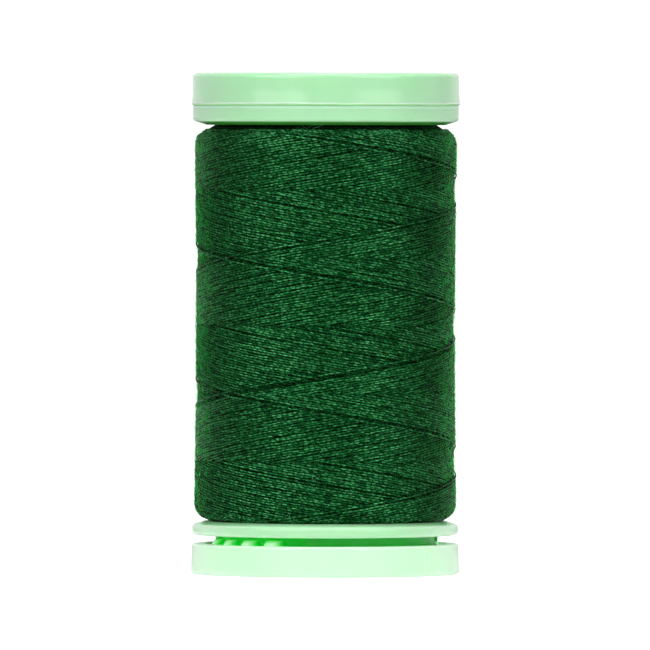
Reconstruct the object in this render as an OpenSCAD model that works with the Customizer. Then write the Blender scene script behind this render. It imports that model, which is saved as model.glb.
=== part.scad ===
// Spool of sewing thread with a snap-open base.
// The spool stands on its base with its axis along Z. The origin is the middle of the base's underside.
// The base is drawn popped open, with the gap that holds a loose thread end.

/* [Spool] */
// Diameter of the lower flange
flange_d = 35.4; // [33:0.1:36]
// Thickness of the lower flange at the barrel
lower_flange_t = 1.85; // [1.6:0.05:2.4]
// Thickness of the upper flange at the barrel
upper_flange_t = 2.5; // [2:0.1:3]
// Outer diameter of the barrel that carries the thread
barrel_d = 16; // [15:0.5:20]
// Inner diameter of the barrel
barrel_bore_d = 13.4; // [12.4:0.1:13.6]
// Diameter of the hole for the machine's spool pin
spindle_d = 8.5; // [6:0.1:9]

/* [Snap ring] */
// Outer diameter of the ring under the lower flange
ring_d = 29.2; // [28.8:0.1:29.4]
// Wall of that ring
ring_wall = 1.2; // [0.8:0.1:1.6]
// Diameter of the barbed foot that holds the base on
foot_d = 32.9; // [32.6:0.1:33.1]
// Height of the barbed foot
foot_h = 0.45; // [0.3:0.05:0.6]
// Grip teeth in each of the two groups
teeth_per_group = 4; // [2:1:6]
// Angle from one grip tooth to the next
tooth_step = 15; // [13:0.5:18]
// Radius of each rounded grip tooth
tooth_r = 2.05; // [1.9:0.05:2.1]

/* [Base] */
// Diameter of the base at its rim
base_d = 35.5; // [35:0.1:36.5]
// Height of the base
base_h = 4.1; // [4:0.1:5]
// Wall of the base
base_wall = 0.9; // [0.7:0.05:1]
// Floor of the base
base_floor = 1.2; // [0.9:0.1:1.25]
// Inner diameter of the lip that hooks over the barbed foot
lip_d = 32; // [31.9:0.05:32.2]
// Open gap between the base's rim and the lower flange
base_gap = 1.1; // [0.9:0.05:1.4]

/* [Top cap] */
// Diameter of the top cap at its lower edge
cap_d = 35.7; // [35:0.1:36.5]
// Height of the top cap
cap_h = 4.35; // [3.6:0.05:6]
// Wall of the top cap
cap_wall = 1.2; // [0.9:0.05:1.6]
// Thickness of the cap's top
cap_top = 1.3; // [1:0.1:1.8]
// Length of the hub pressed into the barrel
hub_l = 10; // [6:1:20]

/* [Thread] */
// Diameter of the full package of thread
winding_d = 34.8; // [32:0.1:35]
// Length of the package between the flanges
winding_h = 52.75; // [50:0.05:60]
// Turns of the modelled outer layer
turns = 24; // [8:1:24]
// Thickness of the modelled strand
strand_d = 1.6; // [0.8:0.1:1.6]
// How far the outer layer stands proud of the core
strand_rise = 0.5; // [0.3:0.05:0.6]

/* [Labels] */
// Diameter of the blank labels
label_d = 30.4; // [24:0.2:31]
// Thickness of the blank labels
label_t = 0.15; // [0.1:0.05:0.2]

/* [Hidden] */
$fn = 96;

mint = [0.72, 0.94, 0.73];
pale_mint = [0.82, 0.98, 0.83];
thread_green = [0.03, 0.26, 0.09];
label_white = [0.94, 0.94, 0.91];

// Heights of the faces, from the table up
flange_z = base_h + base_gap;
winding_z = flange_z + lower_flange_t;
winding_top_z = winding_z + winding_h;
cap_z = winding_top_z + upper_flange_t;
top_z = cap_z + cap_h;

// The base rises by the gap to close, so the foot stands that much above its floor
foot_z = base_floor + base_gap;

// Small edges and clearances
slip_fit = 0.08;
push_fit = 0.02;
bull_nose_r = 0.55;
edge_r = 0.3;
rim_edge_r = 0.21;
base_edge_r = 0.55;
base_flare = 0.15;
cap_edge_r = 0.45;
cap_chamfer = 0.2;
cap_draft = 0.13;
flange_draft = 0.1;
bevel_angle = 17;
bevel_h = 0.4;
bore_chamfer = 0.3;
collar_w = 0.9;
label_recess = 0.25;
label_play = 0.2;
overcut = 1;

// Inner radius of the cap's wall, and the ring on the upper flange that centres it
cap_bore_r = cap_d / 2 - cap_draft - cap_wall;
centring_h = 0.7;
centring_w = 1;

// Part of the barbed foot's height that slopes
barb_slope = 0.7;

// Lip of the base
lip_t = 0.6;
lip_chamfer = 0.15;

// A small locating lug under the flange
lug_angle = 2;
lug_w = 1.4;
lug_h = 0.65;
lug_reach = 0.76;

// Grip teeth: the first of a group stands here, measured from +X
tooth_start = 198;
tooth_overlap = 0.05;
tooth_low = 1.9;
tooth_sink = 0.9;

// Base guide and ribs
guide_l = 8.3;
rib_count = 6;
rib_t = 0.8;
rib_h = 1.3;
rib_root = 0.5;
rib_sink = 0.2;
rib_end_gap = 0.6;

// Rounded shoulders of the package, and how much slimmer its middle is than its ends
top_shoulder_h = 2.4;
top_shoulder_in = 2.3;
low_shoulder_h = 2.25;
low_shoulder_in = 2.05;
shoulder_power = 2.2;
waist_in = 0.25;

// Points along an arc, from angle a to angle b
function arc(centre, r, a, b, steps = 6) =
    [for (i = [0:steps]) centre + r * [cos(a + (b - a) * i / steps), sin(a + (b - a) * i / steps)]];

// Radius at which the bevel on a flange's inner face starts, where its edge has radius r and rounding e
function bevel_r(r, e) =
    r - e * (1 - sin(bevel_angle)) - (bevel_h + e * (1 - cos(bevel_angle))) / tan(bevel_angle);

// How far a shoulder has come in: 0 at its start and 1 at its end
function shoulder(t) = min(1, max(0, t)) ^ shoulder_power;

// Height from the middle of the package: 0 there and 1 at its ends
function from_middle(z) = 2 * (z - winding_z) / winding_h - 1;

// Outer radius of the package at height z
function winding_r(z) =
    winding_d / 2
    - waist_in * (1 - from_middle(z) ^ 2)
    - top_shoulder_in * shoulder((z - winding_top_z + top_shoulder_h) / top_shoulder_h)
    - low_shoulder_in * shoulder((winding_z + low_shoulder_h - z) / low_shoulder_h);

// Barrel, lower flange and snap ring, turned as one profile, with the teeth and the lug on the ring
module spool_body() {
    ring_r = ring_d / 2;
    foot_r = foot_d / 2;
    flange_r = flange_d / 2;
    color(mint) {
        rotate_extrude()
            polygon(concat(
                [
                    [barrel_bore_d / 2, flange_z],
                    [ring_r - ring_wall, flange_z],
                    [ring_r - ring_wall, foot_z],
                    [foot_r - foot_h, foot_z],
                    [foot_r, foot_z + foot_h * barb_slope],
                    [foot_r, foot_z + foot_h],
                    [ring_r, foot_z + foot_h],
                    [ring_r, flange_z]
                ],
                arc([flange_r - bull_nose_r, flange_z + bull_nose_r], bull_nose_r, -90, 0),
                arc([flange_r - bull_nose_r, winding_z - bevel_h - bull_nose_r], bull_nose_r, 0, 90 - bevel_angle),
                [
                    [bevel_r(flange_r, bull_nose_r), winding_z],
                    [barrel_d / 2, winding_z],
                    [barrel_d / 2, cap_z],
                    [barrel_bore_d / 2, cap_z]
                ]
            ));
        grip_teeth();
        rotate([0, 0, lug_angle])
            translate([ring_r - ring_wall / 2, -lug_w / 2, flange_z - lug_h])
                cube([ring_wall / 2 + lug_reach, lug_w, lug_h + edge_r]);
    }
}

// Two opposite groups of domes that bulge from the ring just under the flange
module grip_teeth() {
    centre_z = flange_z + tooth_overlap - tooth_r;
    centre_r = ring_d / 2 - tooth_sink;
    low_z = flange_z - tooth_low;
    intersection() {
        for (half = [0, 180], i = [0:teeth_per_group - 1])
            rotate([0, 0, half + tooth_start + i * tooth_step])
                translate([centre_r, 0, centre_z])
                    sphere(tooth_r);
        rotate_extrude()
            translate([ring_d / 2 - ring_wall / 2, low_z])
                square([ring_wall / 2 + tooth_r, flange_z + edge_r - low_z]);
    }
}

// Disc pressed over the barrel's end, with a ring that centres the cap
module upper_flange() {
    flange_r = flange_d / 2;
    low_r = flange_r - flange_draft;
    centring_r = cap_bore_r - push_fit;
    color(mint)
        rotate_extrude()
            polygon(concat(
                [
                    [barrel_d / 2 + push_fit, winding_top_z],
                    [bevel_r(low_r, edge_r), winding_top_z]
                ],
                arc([low_r - edge_r, winding_top_z + bevel_h + edge_r], edge_r, bevel_angle - 90, 0),
                arc([flange_r - edge_r, cap_z - edge_r], edge_r, 0, 90),
                [
                    [centring_r, cap_z],
                    [centring_r, cap_z + centring_h],
                    [centring_r - centring_w, cap_z + centring_h],
                    [centring_r - centring_w, cap_z],
                    [barrel_d / 2 + push_fit, cap_z]
                ]
            ));
}

// Hollow cap with a shallow label recess and a hub pressed into the barrel
module top_cap() {
    cap_r = cap_d / 2;
    upper_r = cap_r - cap_draft;
    hub_r = barrel_bore_d / 2 - push_fit;
    hole_r = spindle_d / 2;
    recess_r = label_d / 2 + label_play;
    color(mint)
        rotate_extrude()
            polygon(concat(
                [
                    [hub_r, cap_z - hub_l],
                    [hub_r, top_z - cap_top],
                    [cap_bore_r, top_z - cap_top],
                    [cap_bore_r, cap_z],
                    [cap_r - cap_chamfer, cap_z],
                    [cap_r, cap_z + cap_chamfer]
                ],
                arc([upper_r - cap_edge_r, top_z - cap_edge_r], cap_edge_r, 0, 90),
                [
                    [recess_r, top_z],
                    [recess_r, top_z - label_recess],
                    [hole_r + collar_w, top_z - label_recess],
                    [hole_r + collar_w, top_z],
                    [hole_r + bore_chamfer, top_z],
                    [hole_r, top_z - bore_chamfer],
                    [hole_r, cap_z - hub_l]
                ]
            ));
}

// Shallow cup whose lip hooks over the barbed foot, with a guide that slides in the barrel
module snap_base() {
    rim_r = base_d / 2;
    flare_r = rim_r + base_flare;
    wall_r = rim_r - base_wall;
    lip_r = lip_d / 2;
    guide_r = barrel_bore_d / 2 - slip_fit;
    guide_z = base_floor + guide_l;
    hole_r = spindle_d / 2;
    recess_r = label_d / 2 + label_play;
    rib_l = ring_d / 2 - ring_wall - rib_end_gap - guide_r;
    color(pale_mint) {
        rotate_extrude()
            polygon(concat(
                [
                    [hole_r + bore_chamfer, 0],
                    [hole_r + collar_w, 0],
                    [hole_r + collar_w, label_recess],
                    [recess_r, label_recess],
                    [recess_r, 0]
                ],
                arc([flare_r - base_edge_r, base_edge_r], base_edge_r, -90, 0),
                arc([rim_r - rim_edge_r, base_h - rim_edge_r], rim_edge_r, 0, 90),
                [
                    [lip_r + lip_chamfer, base_h],
                    [lip_r, base_h - lip_chamfer],
                    [lip_r, base_h - lip_t + lip_chamfer],
                    [lip_r + lip_chamfer, base_h - lip_t],
                    [wall_r, base_h - lip_t],
                    [wall_r, base_floor],
                    [guide_r, base_floor],
                    [guide_r, guide_z - bore_chamfer],
                    [guide_r - bore_chamfer, guide_z],
                    [hole_r, guide_z],
                    [hole_r, bore_chamfer]
                ]
            ));
        for (i = [0:rib_count - 1])
            rotate([0, 0, i * 360 / rib_count])
                translate([guide_r - rib_root, -rib_t / 2, base_floor - rib_sink])
                    cube([rib_l, rib_t, rib_h + rib_sink]);
    }
}

// The plain package of thread under the outer layer
module thread_core() {
    // The heights lie closer together near both ends
    steps = 30;
    heights = [for (i = [0:steps]) winding_z + winding_h * (1 - cos(180 * i / steps)) / 2];
    color(thread_green)
        rotate_extrude()
            polygon(concat(
                [[barrel_d / 2, winding_z]],
                [for (z = heights) [winding_r(z) - strand_rise, z]],
                [[barrel_d / 2, winding_top_z]]
            ));
}

// Corners of a strand's cross-section, and rings in one turn
strand_sides = 6;
rings_per_turn = 24;
strand_r = strand_d / 2;
flat_r = strand_r * cos(180 / strand_sides);
end_play = 0.3;

// The strand climbs this far from its first turn to its last
strand_low_z = winding_z + strand_r + end_play;
strand_climb = winding_h - strand_d - 2 * end_play;

// Middle of the strand on its way round, where turn counts from 0 to turns
function strand_z(turn) = strand_low_z + strand_climb * turn / turns;
function strand_path_r(z) = winding_r(z) - flat_r;
function on_turn(turn) = [
    strand_path_r(strand_z(turn)) * cos(360 * turn),
    strand_path_r(strand_z(turn)) * sin(360 * turn),
    strand_z(turn)
];

// Where an end dives into the package: a quarter bend, then one strand diameter straight along the radius
function dive(turn, side) =
    let (
        out = [cos(360 * turn), sin(360 * turn), 0],
        along = side * [-sin(360 * turn), cos(360 * turn), 0],
        centre = (strand_path_r(strand_z(turn)) - strand_d) * out + [0, 0, strand_z(turn)]
    )
    concat(
        [for (q = [67.5, 45, 22.5, 0]) centre + strand_d * (cos(q) * along + sin(q) * out)],
        [centre + strand_d * (along - out)]
    );

first_dive = dive(0, -1);
strand_path = concat(
    [for (i = [len(first_dive) - 1:-1:0]) first_dive[i]],
    [for (i = [0:turns * rings_per_turn]) on_turn(i / rings_per_turn)],
    dive(turns, 1)
);
last_point = len(strand_path) - 1;

// One ring of corners, square to the path at point i
function ring(i) =
    let (
        step = strand_path[min(i + 1, last_point)] - strand_path[max(i - 1, 0)],
        ahead = step / norm(step),
        side = cross(ahead, [0, 0, 1]) / norm(cross(ahead, [0, 0, 1])),
        up = cross(side, ahead)
    )
    [
        for (k = [0:strand_sides - 1])
            let (a = 90 + k * 360 / strand_sides)
            strand_path[i] + strand_r * (cos(a) * side + sin(a) * up)
    ];

// The least distance between corners of rings that are between half a turn and two turns apart
function gap_from(i) =
    let (here = ring(i), last = min(last_point, i + 2 * rings_per_turn))
    min([
        for (j = [i + rings_per_turn / 2:last])
            let (there = ring(j))
            min([for (a = here, b = there) norm(a - b)])
    ]);
sampled_rings = [0:3:last_point - rings_per_turn];
least_gap = min([for (i = sampled_rings) gap_from(i)]);
echo(least_gap_between_turns_mm = least_gap);  // thread_outer_layer

// One unbroken strand wound round the core
module thread_outer_layer() {
    corners = [for (i = [0:last_point], p = ring(i)) p];
    sides = [
        for (i = [0:last_point - 1], k = [0:strand_sides - 1])
            let (
                a = i * strand_sides + k,
                b = i * strand_sides + (k + 1) % strand_sides
            )
            each [[a, b, b + strand_sides], [a, b + strand_sides, a + strand_sides]]
    ];
    tail = last_point * strand_sides;
    ends = [
        for (k = [1:strand_sides - 2])
            each [[0, k + 1, k], [tail, tail + k, tail + k + 1]]
    ];
    color(thread_green)
        polyhedron(corners, concat(sides, ends));
}

// A blank disc label with a hole, lying at height z
module label(z) {
    color(label_white)
        difference() {
            translate([0, 0, z])
                cylinder(d = label_d, h = label_t);
            translate([0, 0, z - overcut])
                cylinder(d = spindle_d + 2 * collar_w + 2 * label_play, h = label_t + 2 * overcut);
        }
}

module top_label() {
    label(top_z - label_recess);
}

module base_label() {
    label(label_recess - label_t);
}

spool_body();
upper_flange();
top_cap();
snap_base();
thread_core();
thread_outer_layer();
top_label();
base_label();
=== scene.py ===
"""Finish of a snap-base spool of cross-wound sewing thread, built piece by piece on its packed frame.

Lengths are in metres. Z runs up the spool's axis, and -Y is the front. Each moulded piece is an outline
turned about the axis, the thread is one strand wound to and fro between the flanges, and the fuzz is a
field of short fibres that stand off the wound surface.
"""

import math

import bpy
import numpy as np
from bpy.props import FloatProperty, FloatVectorProperty, IntProperty, PointerProperty
from bpy.types import Operator, Panel, PropertyGroup
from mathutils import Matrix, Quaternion, Vector


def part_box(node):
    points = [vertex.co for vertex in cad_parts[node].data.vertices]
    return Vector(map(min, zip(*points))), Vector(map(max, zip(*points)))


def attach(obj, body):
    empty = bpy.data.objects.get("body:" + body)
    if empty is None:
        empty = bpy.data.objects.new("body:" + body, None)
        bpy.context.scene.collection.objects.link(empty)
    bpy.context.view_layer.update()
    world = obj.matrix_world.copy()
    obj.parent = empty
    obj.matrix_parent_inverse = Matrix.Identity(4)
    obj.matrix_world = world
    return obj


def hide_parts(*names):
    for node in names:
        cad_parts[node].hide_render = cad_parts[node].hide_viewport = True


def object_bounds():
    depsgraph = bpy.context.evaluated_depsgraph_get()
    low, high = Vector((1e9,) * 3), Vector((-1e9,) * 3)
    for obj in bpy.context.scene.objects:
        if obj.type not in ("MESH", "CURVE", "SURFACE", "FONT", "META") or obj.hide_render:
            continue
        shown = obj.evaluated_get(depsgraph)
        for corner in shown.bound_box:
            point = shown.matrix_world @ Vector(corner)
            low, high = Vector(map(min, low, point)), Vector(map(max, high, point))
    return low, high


bl_info = {
    "name": "Thread Spool",
    "version": (1, 0, 0),
    "blender": (4, 5, 0),
    "location": "View3D > Sidebar > Spool",
    "description": "Builds a snap-base spool full of cross-wound sewing thread",
    "category": "Add Mesh",
}

MM = 0.001
TURN = 2 * math.pi
# Columns round a turned moulding, and round the plainer labels and thread core
COLUMNS, FEWER_COLUMNS = 512, 256
WHITE = (1, 1, 1, 1)

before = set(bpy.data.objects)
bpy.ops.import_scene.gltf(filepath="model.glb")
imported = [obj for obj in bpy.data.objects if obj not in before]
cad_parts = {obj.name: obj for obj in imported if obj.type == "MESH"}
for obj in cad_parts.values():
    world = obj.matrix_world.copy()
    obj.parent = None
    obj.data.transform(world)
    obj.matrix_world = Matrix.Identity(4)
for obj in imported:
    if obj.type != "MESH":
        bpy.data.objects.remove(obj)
CAD_BOX = [list(corner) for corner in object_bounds()]

BODY_LOW, BODY_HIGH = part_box("spool_body")
FLANGE_LOW, FLANGE_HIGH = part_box("upper_flange")
CAP_LOW, CAP_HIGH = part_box("top_cap")
BASE_LOW, BASE_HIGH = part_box("snap_base")
PACK_LOW, PACK_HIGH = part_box("thread_core")
TOP_LABEL_LOW, TOP_LABEL_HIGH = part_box("top_label")
BASE_LABEL_LOW, BASE_LABEL_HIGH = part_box("base_label")


# Settings ------------------------------------------------------------------------------------------

def size(label, text, default):
    """A length, given here in millimetres."""
    return FloatProperty(name=label, description=text, default=default * MM, unit="LENGTH", precision=5)


def angle(label, text, degrees):
    """An angle, given here in degrees."""
    return FloatProperty(name=label, description=text, default=math.radians(degrees), subtype="ANGLE")


def number(label, text, default):
    """A count of at least one."""
    return IntProperty(name=label, description=text, default=default, min=1)


def level(label, text, default):
    """A plain amount with no unit."""
    return FloatProperty(name=label, description=text, default=default, min=0.0)


def colour(label, text, default):
    """A linear colour."""
    return FloatVectorProperty(
        name=label, description=text, default=default, size=3, min=0.0, max=1.0, subtype="COLOR")


class BodySettings(PropertyGroup):
    """Sizes of the barrel, the lower flange and the snap ring."""
    bore_radius: size("Bore radius", "Inside of the barrel", 6.7)
    barrel_radius: size("Barrel radius", "Outside of the barrel", 8.0)
    ring_inner: size("Ring inner radius", "Inside of the snap ring", 13.4)
    ring_outer: size("Ring outer radius", "Outside of the snap ring", 14.6)
    foot_radius: size("Foot radius", "Barbed foot that holds the base on", 16.45)
    foot_height: size("Foot height", "Height of the barbed foot", 0.45)
    flange_under: size("Flange underside", "Height of the lower flange's underside", 5.2)
    nose_radius: size("Nose radius", "Rounding of the lower flange's edge", 0.55)
    bevel_height: size("Bevel height", "Height of the bevel under the upper flange", 0.55)
    low_bevel_height: size("Low bevel height", "Height of the bevel on the lower flange", 0.48)
    bevel_angle: angle("Bevel angle", "Slope of the bevel on the inner face of each flange", 17)
    tooth_radius: size("Tooth radius", "Radius of each rounded grip tooth", 2.05)
    tooth_centre: size("Tooth centre", "How far a tooth's centre is from the axis", 13.86)
    tooth_height: size("Tooth height", "Height of a tooth's centre", 3.2)
    tooth_low: size("Tooth low", "Height of a tooth's flat lower end", 3.3)
    tooth_start: angle("Tooth start", "Angle of the first tooth from +X", 198)
    tooth_step: angle("Tooth step", "Angle from one tooth to the next", 15)
    teeth: number("Teeth", "Grip teeth in each of the two groups", 4)
    lug_angle: angle("Lug angle", "Angle of the small lug from +X", 2)
    lug_width: size("Lug width", "Width of the small lug", 1.4)
    lug_reach: size("Lug reach", "How far out the lug comes", 14.98)
    lug_low: size("Lug low", "Height of the lug's lower face", 4.3)


class CapSettings(PropertyGroup):
    """Sizes of the top cap and the upper flange."""
    hole_radius: size("Hole radius", "Spindle hole", 4.25)
    hub_radius: size("Hub radius", "Hub pressed into the barrel", 6.68)
    ceiling: size("Ceiling", "Height of the inside of the cap's top", 65.35)
    wall_inner: size("Wall inner radius", "Inside of the cap's wall", 16.5)
    wall_draft: size("Wall draft", "How much slimmer the cap's wall is near its top", 0.13)
    kink_height: size("Kink height", "Height below which the wall flares out", 64.35)
    edge_radius: size("Edge radius", "Rounding of the cap's top edge", 0.68)
    flash_height: size("Flash height", "Height of the flash line's upper side", 62.72)
    flash_reach: size("Flash reach", "How far the flash stands out", 0.04)
    flash_wave: size("Flash wave", "How far the flash line wanders up and down", 0.055)
    groove_depth: size("Groove depth", "Depth of the groove under the flash", 0.12)
    recess_depth: size("Recess depth", "Depth of the label's recess", 0.25)
    collar: size("Collar", "Width of the collar round the hole", 0.9)
    label_gap: size("Label gap", "Gap round each label in its recess", 0.2)
    flange_edge: size("Flange edge", "Rounding of the upper flange's lower edge", 0.5)
    flange_top_edge: size("Flange top edge", "Rounding of the upper flange's upper edge", 0.16)
    flange_draft: size("Flange draft", "How much slimmer the upper flange is at its lower edge", 0.04)
    flange_sag: size("Flange sag", "How far the middle of its underside hangs", 0.1)


class BaseSettings(PropertyGroup):
    """Sizes of the snap base."""
    height: size("Height", "Height of the base's rim", 4.08)
    rim_radius: size("Rim radius", "Outer radius at the rim", 17.75)
    foot_edge: size("Foot edge", "Rounding of the lower edge", 0.55)
    rim_edge: size("Rim edge", "Rounding of the rim's outer edge", 0.4)
    wall_inner: size("Wall inner radius", "Inside of the base's wall", 16.85)
    lip_radius: size("Lip radius", "Inside of the lip that hooks over the foot", 16.0)
    lip_height: size("Lip height", "Height of the lip", 0.6)
    floor_height: size("Floor height", "Height of the inside floor", 1.2)
    guide_radius: size("Guide radius", "Outside of the guide that slides in the barrel", 6.62)
    rib_end: size("Rib end", "Radius where each rib ends", 12.3)
    rib_width: size("Rib width", "Thickness of each rib", 0.8)
    rib_top: size("Rib top", "Height of each rib's top", 2.5)
    ribs: number("Ribs", "Ribs on the inside floor", 6)
    seam_angle: angle("Seam angle", "Angle of the faint mould line from +X", -42.6)


class ThreadSettings(PropertyGroup):
    """How the thread is wound."""
    strand_radius: size("Strand radius", "Half the thread's width", 0.15)
    strand_sides: number("Strand sides", "Corners of the strand's cross-section", 6)
    flatness: level("Flatness", "Thickness of the pressed strand across the surface over its width", 0.7)
    samples: number("Samples per turn", "Points on each turn of the strand", 144)
    pieces: number("Pieces", "Meshes that share the strand between them", 4)
    package_radius: size("Package radius", "Outer radius of the full package", 17.41)
    lead: size("Lead", "How far the thread climbs in one turn", 18.0)
    stroke_bottom: size("Stroke bottom", "Lowest height the guide aims for", 6.27)
    stroke_top: size("Stroke top", "Highest height the guide aims for", 60.1)
    cycles: number("Cycles", "Up and down strokes in the outer layers", 54)
    start_angle: angle("Start angle", "Where the strand starts, from the front", -45.8)
    low_turn_round: level("Low turn-round", "Half-width of the lower reversal, in turns", 0.1)
    high_turn_round: level("High turn-round", "Half-width of the upper reversal, in turns", 0.12)
    layer_step: size("Layer step", "How much one layer adds to the package's radius", 0.2)
    nesting: size("Nesting", "How far a crossed strand lies below the one over it", 0.2)
    waist_in: size("Waist", "How much slimmer the middle is than the ends", 0.25)
    top_shoulder: size("Top shoulder", "Height of the rounded upper shoulder", 2.8)
    top_shoulder_in: size("Top shoulder in", "How far the upper shoulder draws in", 2.4)
    low_shoulder: size("Low shoulder", "Height of the rounded lower shoulder", 2.25)
    low_shoulder_in: size("Low shoulder in", "How far the lower shoulder draws in", 2.05)
    shoulder_power: level("Shoulder power", "How suddenly the shoulders turn in", 2.2)
    wander: size("Wander", "How far strands stray up and down", 0.032)
    lift: size("Lift", "How far strands stray in and out", 0.018)
    slubs: level("Slubs", "How much the thickness varies", 0.09)
    loose_gap: size("Loose gap", "Extra gap under the loosest turn of the last climbing stroke", 0.4)
    loose_height: size("Loose height", "Height of that turn in front", 26.3)
    loose_reach: size("Loose reach", "Height over which it comes loose", 7.0)
    gap_spread: level("Gap spread", "Strands beside a gap over which its push fades", 4.0)
    last_lift: size("Last lift", "How far the last strands lie above the others", 0.07)
    twist: size("Twist", "Length in which the two plies go once round each other", 1.5)
    core_depth: size("Core depth", "How far the plain core lies below the surface", 0.46)


class FuzzSettings(PropertyGroup):
    """The fibres that stand off the thread."""
    fibres: number("Fibres", "Short fibres in each of the fuzz pieces", 9000)
    pieces: number("Pieces", "Meshes that share the short fibres", 4)
    thickness: size("Thickness", "Thickness of a fibre", 0.02)
    length: size("Length", "Usual length of a short fibre", 0.9)
    stand_off: size("Stand-off", "Usual height of a fibre's tip over the thread", 0.13)
    curls: number("Curls", "Longer curly lint fibres", 46)
    curl_length: size("Curl length", "Usual length of a curly fibre", 2.6)


class StageSettings(PropertyGroup):
    """Camera, floor and lights."""
    camera_distance: size("Camera distance", "From the axis to the camera", 1950.0)
    camera_height: size("Camera height", "Height of the camera", 62.3)
    aim_height: size("Aim height", "Height that the camera looks at", 33.1)
    aim_side: size("Aim side", "Sideways offset of the aim", -0.07)
    camera_roll: angle("Camera roll", "Anticlockwise lean of the camera", 0.12)
    focal_length: level("Focal length", "Of the camera, in millimetres on a 36 mm sensor", 812.0)
    floor_size: size("Floor size", "Half the floor's width", 3000.0)
    sheet_radius: size("Sheet radius", "Radius of the white sheet on the floor", 160.0)
    floor_glow: level("Floor glow", "Light that the floor gives off to the camera", 1.0)
    sheet_glow: level("Sheet glow", "Light that the sheet gives off near the spool", 0.3)
    glow_reach: size("Glow reach", "Radius in which the sheet gives off light", 130.0)
    light_distance: size("Light distance", "From the spool to each soft light", 1300.0)
    left_light: level("Left light", "Power of the left soft light, in watts", 10.0)
    right_light: level("Right light", "Power of the right soft light, in watts", 8.9)
    top_light: level("Top light", "Power of the soft light overhead, in watts", 12.5)
    front_sky: level("Front sky", "Brightness of the surroundings in front", 0.03)
    back_sky: level("Back sky", "Brightness of the surroundings behind", 0.95)
    seen_sky: level("Seen sky", "Brightness of the surroundings to the camera", 1.3)


class FinishSettings(PropertyGroup):
    """Colours of the spool's materials."""
    mint: colour("Mint", "Moulded plastic", (0.415, 0.755, 0.445))
    # A darker copy of the same mint: painted shade on the body.
    body_shade_mint: colour("Low mint", "Moulded plastic of the body", (0.39, 0.69, 0.415))
    # A paler copy of the same mint: painted light on the base, from the bright floor below it.
    base_lit_mint: colour("Pale mint", "Moulded plastic of the base", (0.55, 0.96, 0.58))
    # Painted shade deep in the gap under the lower flange, also on the grip teeth's far sides and on the
    # lug.
    gap_shade_mint: colour("Deep mint", "Plastic deep in the gap", (0.008, 0.97, 0.065))
    shaded_mint: colour("Shaded mint", "Plastic under the upper flange", (0.06, 0.36, 0.045))
    # Painted light on the upward-facing inner edge of the lower flange.
    low_edge: colour("Low edge", "Inner edge of the lower flange", (0.4, 1.0, 0.46))
    # Painted highlight on the upper edge of the upper flange.
    flange_edge: colour("Flange edge", "Upper edge of the upper flange", (0.54, 0.97, 0.66))
    # Painted shade in the groove under the flash.
    groove: colour("Groove", "Groove under the flash", (0.36, 0.78, 0.32))
    thread: colour("Thread", "Dyed thread", (0.0035, 0.045, 0.0095))
    fibre: colour("Fibre", "Loose fibres that face the eye", (0.008, 0.11, 0.022))
    # Painted light on fibres at the package's edges, as if lit from behind.
    backlit_fibre: colour("Backlit fibre", "Loose fibres that light shines through", (0.03, 0.66, 0.065))
    lint: colour("Lint", "Curly lint", (0.10, 0.36, 0.16))
    paper: colour("Paper", "Blank labels", (0.86, 0.86, 0.82))


# Meshes --------------------------------------------------------------------------------------------

def make_mesh(name, points, faces, uv=None):
    """A smooth mesh from an array of points and a list of face arrays, each (count, corners) large."""
    corners = np.concatenate([block.ravel() for block in faces]).astype(np.int32)
    totals = np.concatenate([np.full(len(block), block.shape[1]) for block in faces])
    starts = (np.cumsum(totals) - totals).astype(np.int32)
    mesh = bpy.data.meshes.new(name)
    mesh.vertices.add(len(points))
    mesh.vertices.foreach_set("co", points.astype(np.float32).ravel())
    mesh.loops.add(len(corners))
    mesh.loops.foreach_set("vertex_index", corners)
    mesh.polygons.add(len(starts))
    mesh.polygons.foreach_set("loop_start", starts)
    mesh.update(calc_edges=True)
    if uv is not None:
        layer = mesh.uv_layers.new(name="strand")
        layer.uv.foreach_set("vector", uv.astype(np.float32).ravel())
    mesh.shade_smooth()
    return mesh


def grid_quads(rows, columns):
    """Quads of a grid that closes on itself both ways. They face outwards where the rows run
    anticlockwise in radius and height and the columns run anticlockwise seen from above."""
    row, column = np.meshgrid(np.arange(rows), np.arange(columns), indexing="ij")
    next_row, next_column = (row + 1) % rows, (column + 1) % columns
    quads = [row * columns + column, row * columns + next_column,
             next_row * columns + next_column, next_row * columns + column]
    return np.stack(quads, axis=-1).reshape(-1, 4)


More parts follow.
